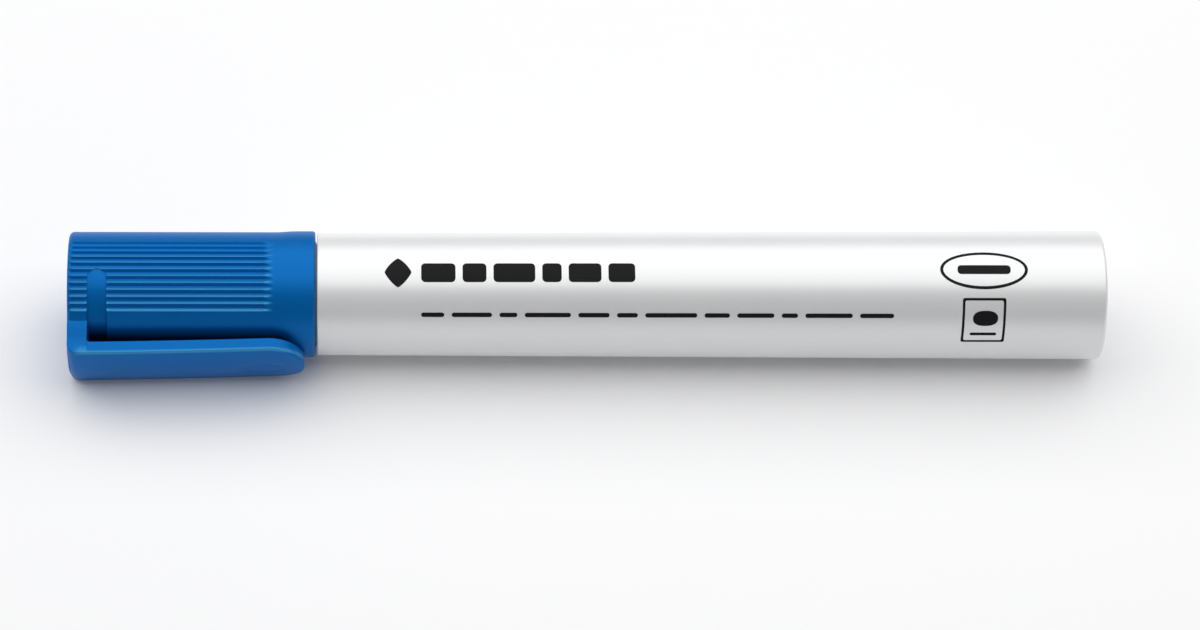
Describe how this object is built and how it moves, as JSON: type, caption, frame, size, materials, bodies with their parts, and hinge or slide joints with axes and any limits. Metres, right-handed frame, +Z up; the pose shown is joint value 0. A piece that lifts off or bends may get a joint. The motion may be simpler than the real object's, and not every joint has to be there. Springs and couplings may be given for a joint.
{
  "type": "whiteboard marker",
  "caption": "Capped dry-erase marker: fluted push-on cap with a springy pocket clip, bullet nib on a snout, fibre ink reservoir, tapered barrel with an end plug.",
  "frame": {"origin": "centre of the bounding box's underside, on the surface the marker lies on; the marker's own axis runs 8.77 mm above it and 1.43 mm to +Y, because the clip reaches out to -Y", "axes": "+X along the marker from the closed end of the cap to the rear end, +Y away from the clip, +Z up from the surface it lies on"},
  "size_m": [0.14, 0.0204, 0.0175],
  "materials": {
    "cap_blue": "moulded polypropylene, satin gloss",
    "seal_white": "moulded polyethylene, soft sheen",
    "barrel_pearl": "pearl-pigmented polypropylene, satin",
    "plug_pearl": "pearl-pigmented polypropylene, satin",
    "holder_grey": "moulded polypropylene, satin",
    "nib_felt": "bonded acrylic fibre soaked in blue ink",
    "reservoir_fibre": "polyester fibre rod soaked in blue ink",
    "sleeve_film": "thin clear film"
  },
  "bodies": {
    "barrel": {"barrel": "barrel_pearl", "rear_plug": "plug_pearl", "nib_holder": "holder_grey", "nib": "nib_felt", "ink_reservoir": "reservoir_fibre", "reservoir_sleeve": "sleeve_film"},
    "cap_seal": {"seal_cup": "seal_white"},
    "cap": {"cap_shell": "cap_blue"},
    "clip": {"pocket_clip": "cap_blue"}
  },
  "joints": [
    {"name": "cap_pull", "type": "slide", "parent": "barrel", "child": "cap_seal", "axis": [-1, 0, 0], "range_m": [0, 0.04]},
    {"name": "cap_turn", "type": "hinge", "parent": "cap_seal", "child": "cap", "pos_m": [-0.065, 0.00143, 0.00877], "axis": [-1, 0, 0], "continuous": true},
    {"name": "clip_flex", "type": "hinge", "parent": "cap", "child": "clip", "pos_m": [-0.067, -0.00773, 0.0053], "axis": [0, 0.3542, -0.9352], "range_deg": [0, 5], "stiffness_Nm_per_rad": 3}
  ]
}
